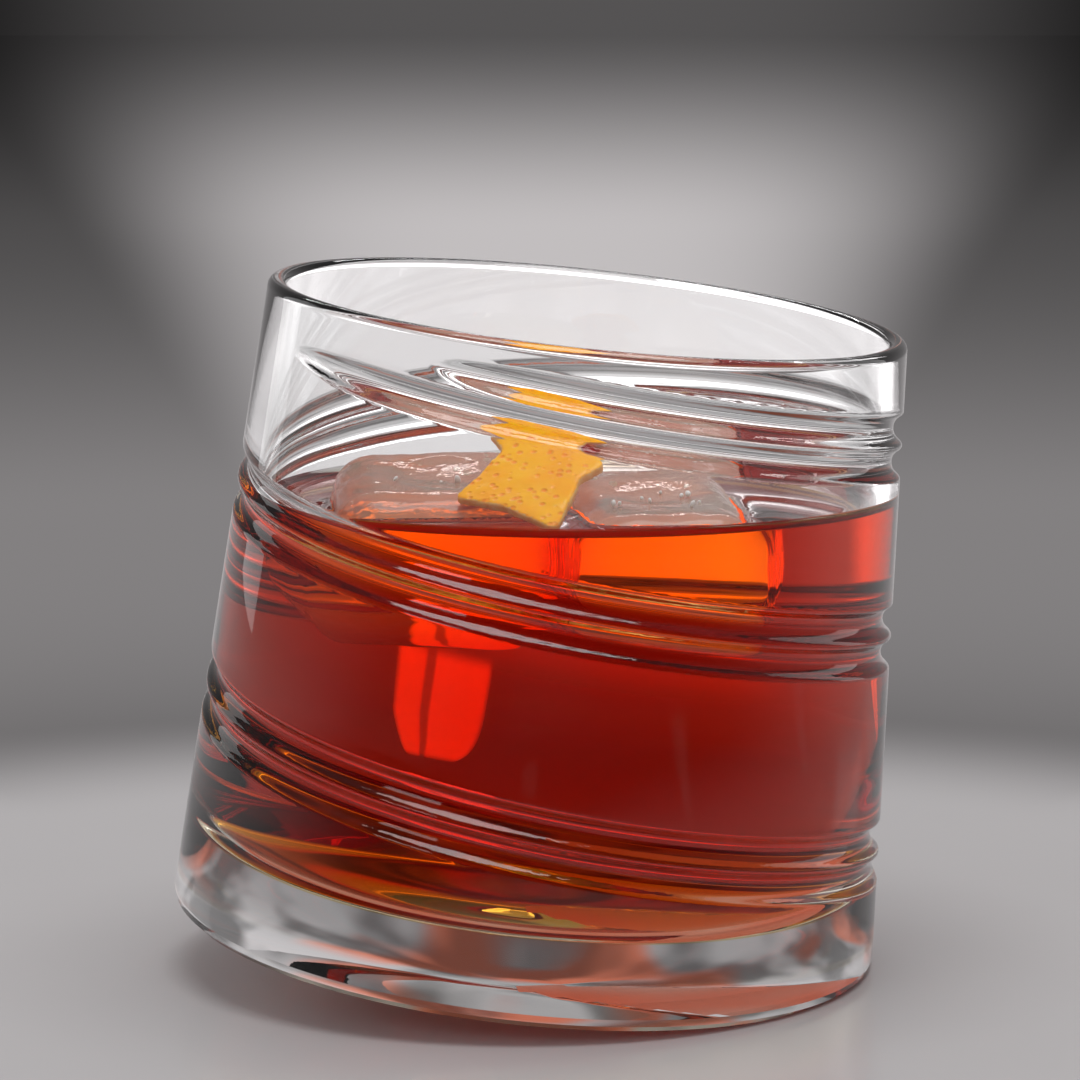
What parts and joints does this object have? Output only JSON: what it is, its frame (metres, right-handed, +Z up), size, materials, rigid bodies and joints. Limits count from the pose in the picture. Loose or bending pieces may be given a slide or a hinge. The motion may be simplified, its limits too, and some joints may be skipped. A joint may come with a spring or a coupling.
{
  "type": "negroni in a leaning spiral-cut tumbler",
  "caption": "Red short drink with ice and an orange peel, served in a clear tumbler that leans on its conical base.",
  "frame": {"origin": "on the floor that the glass rests on, under the centre of its bounding box", "axes": "+Z up, standing as it rests; -Y towards the viewer; the tumbler's own axis leans 6.7 degrees from +Z, to the right and a little to the front (28.5 degrees from +X towards -Y)"},
  "size_m": [0.0926, 0.0898, 0.089],
  "materials": {
    "clear_glass": "clear polished glass with a softly fire-polished lip and pressed grooves",
    "red_drink": "clear deep red liquid, orange where it is thin",
    "ice": "clear wet ice with a few bubbles and cracks",
    "orange_peel": "waxy pebbled orange zest over pale pith"
  },
  "bodies": {
    "root": {"glass": "clear_glass", "drink": "red_drink", "ice_left": "ice", "ice_right": "ice", "orange_peel": "orange_peel"}
  },
  "joints": []
}
